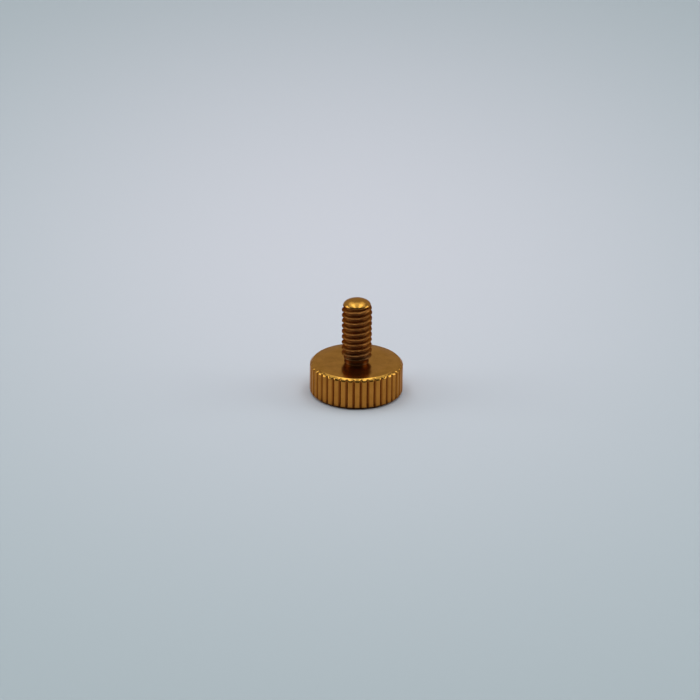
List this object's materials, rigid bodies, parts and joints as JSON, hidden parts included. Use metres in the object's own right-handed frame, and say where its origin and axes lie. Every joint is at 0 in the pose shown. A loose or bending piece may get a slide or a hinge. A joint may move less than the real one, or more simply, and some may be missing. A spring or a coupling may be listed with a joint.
{
  "type": "thumb screw",
  "caption": "Thumb screw turned in one piece: a flat round head with a straight-knurled rim and a short threaded shank with a domed tip.",
  "frame": {"origin": "centre of the head's outer face, which is the bottom of the part as it stands", "axes": "+Z along the screw's axis, from the head's outer face towards the tip of the shank; a land of the knurl is centred on +X and on +Y"},
  "size_m": [0.0126, 0.0126, 0.0137],
  "materials": {
    "gold_anodised": "turned aluminium with a satin gold anodised surface"
  },
  "bodies": {
    "root": {"thumb_screw": "gold_anodised"}
  },
  "joints": []
}
